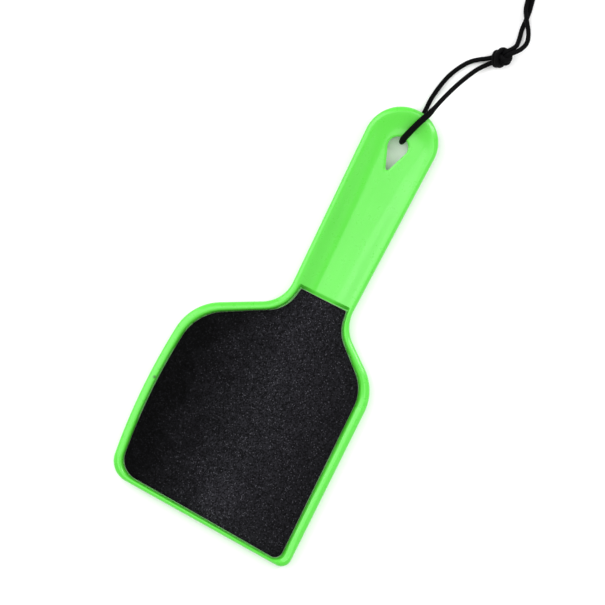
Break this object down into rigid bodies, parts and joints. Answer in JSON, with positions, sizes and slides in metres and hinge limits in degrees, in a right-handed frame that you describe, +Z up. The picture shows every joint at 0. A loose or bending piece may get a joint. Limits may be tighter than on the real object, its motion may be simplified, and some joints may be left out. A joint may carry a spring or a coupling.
{
  "type": "foot file",
  "caption": "Glossy green plastic foot file with a rimmed, dished head, a black abrasive sheet, a trough handle and a knotted black hanging cord.",
  "frame": {"origin": "centre of the paddle's bounding box, on the surface that the paddle lies on", "axes": "+Y along the handle towards the hang hole, +Z up out of the abrasive face, +X to the right"},
  "size_m": [0.0981, 0.3586, 0.0157],
  "materials": {
    "green_gloss_plastic": "glossy",
    "black_abrasive": "coarse black mineral grit",
    "clear_adhesive": "dull film",
    "black_cord": "woven"
  },
  "bodies": {
    "root": {"paddle": "green_gloss_plastic", "abrasive_sheet": "black_abrasive", "sheet_adhesive": "clear_adhesive", "hanging_loop": "black_cord", "middle_knot": "black_cord", "wrist_strand_left": "black_cord", "wrist_strand_right": "black_cord", "end_knot": "black_cord", "cord_tail_left": "black_cord", "cord_tail_right": "black_cord"}
  },
  "joints": []
}
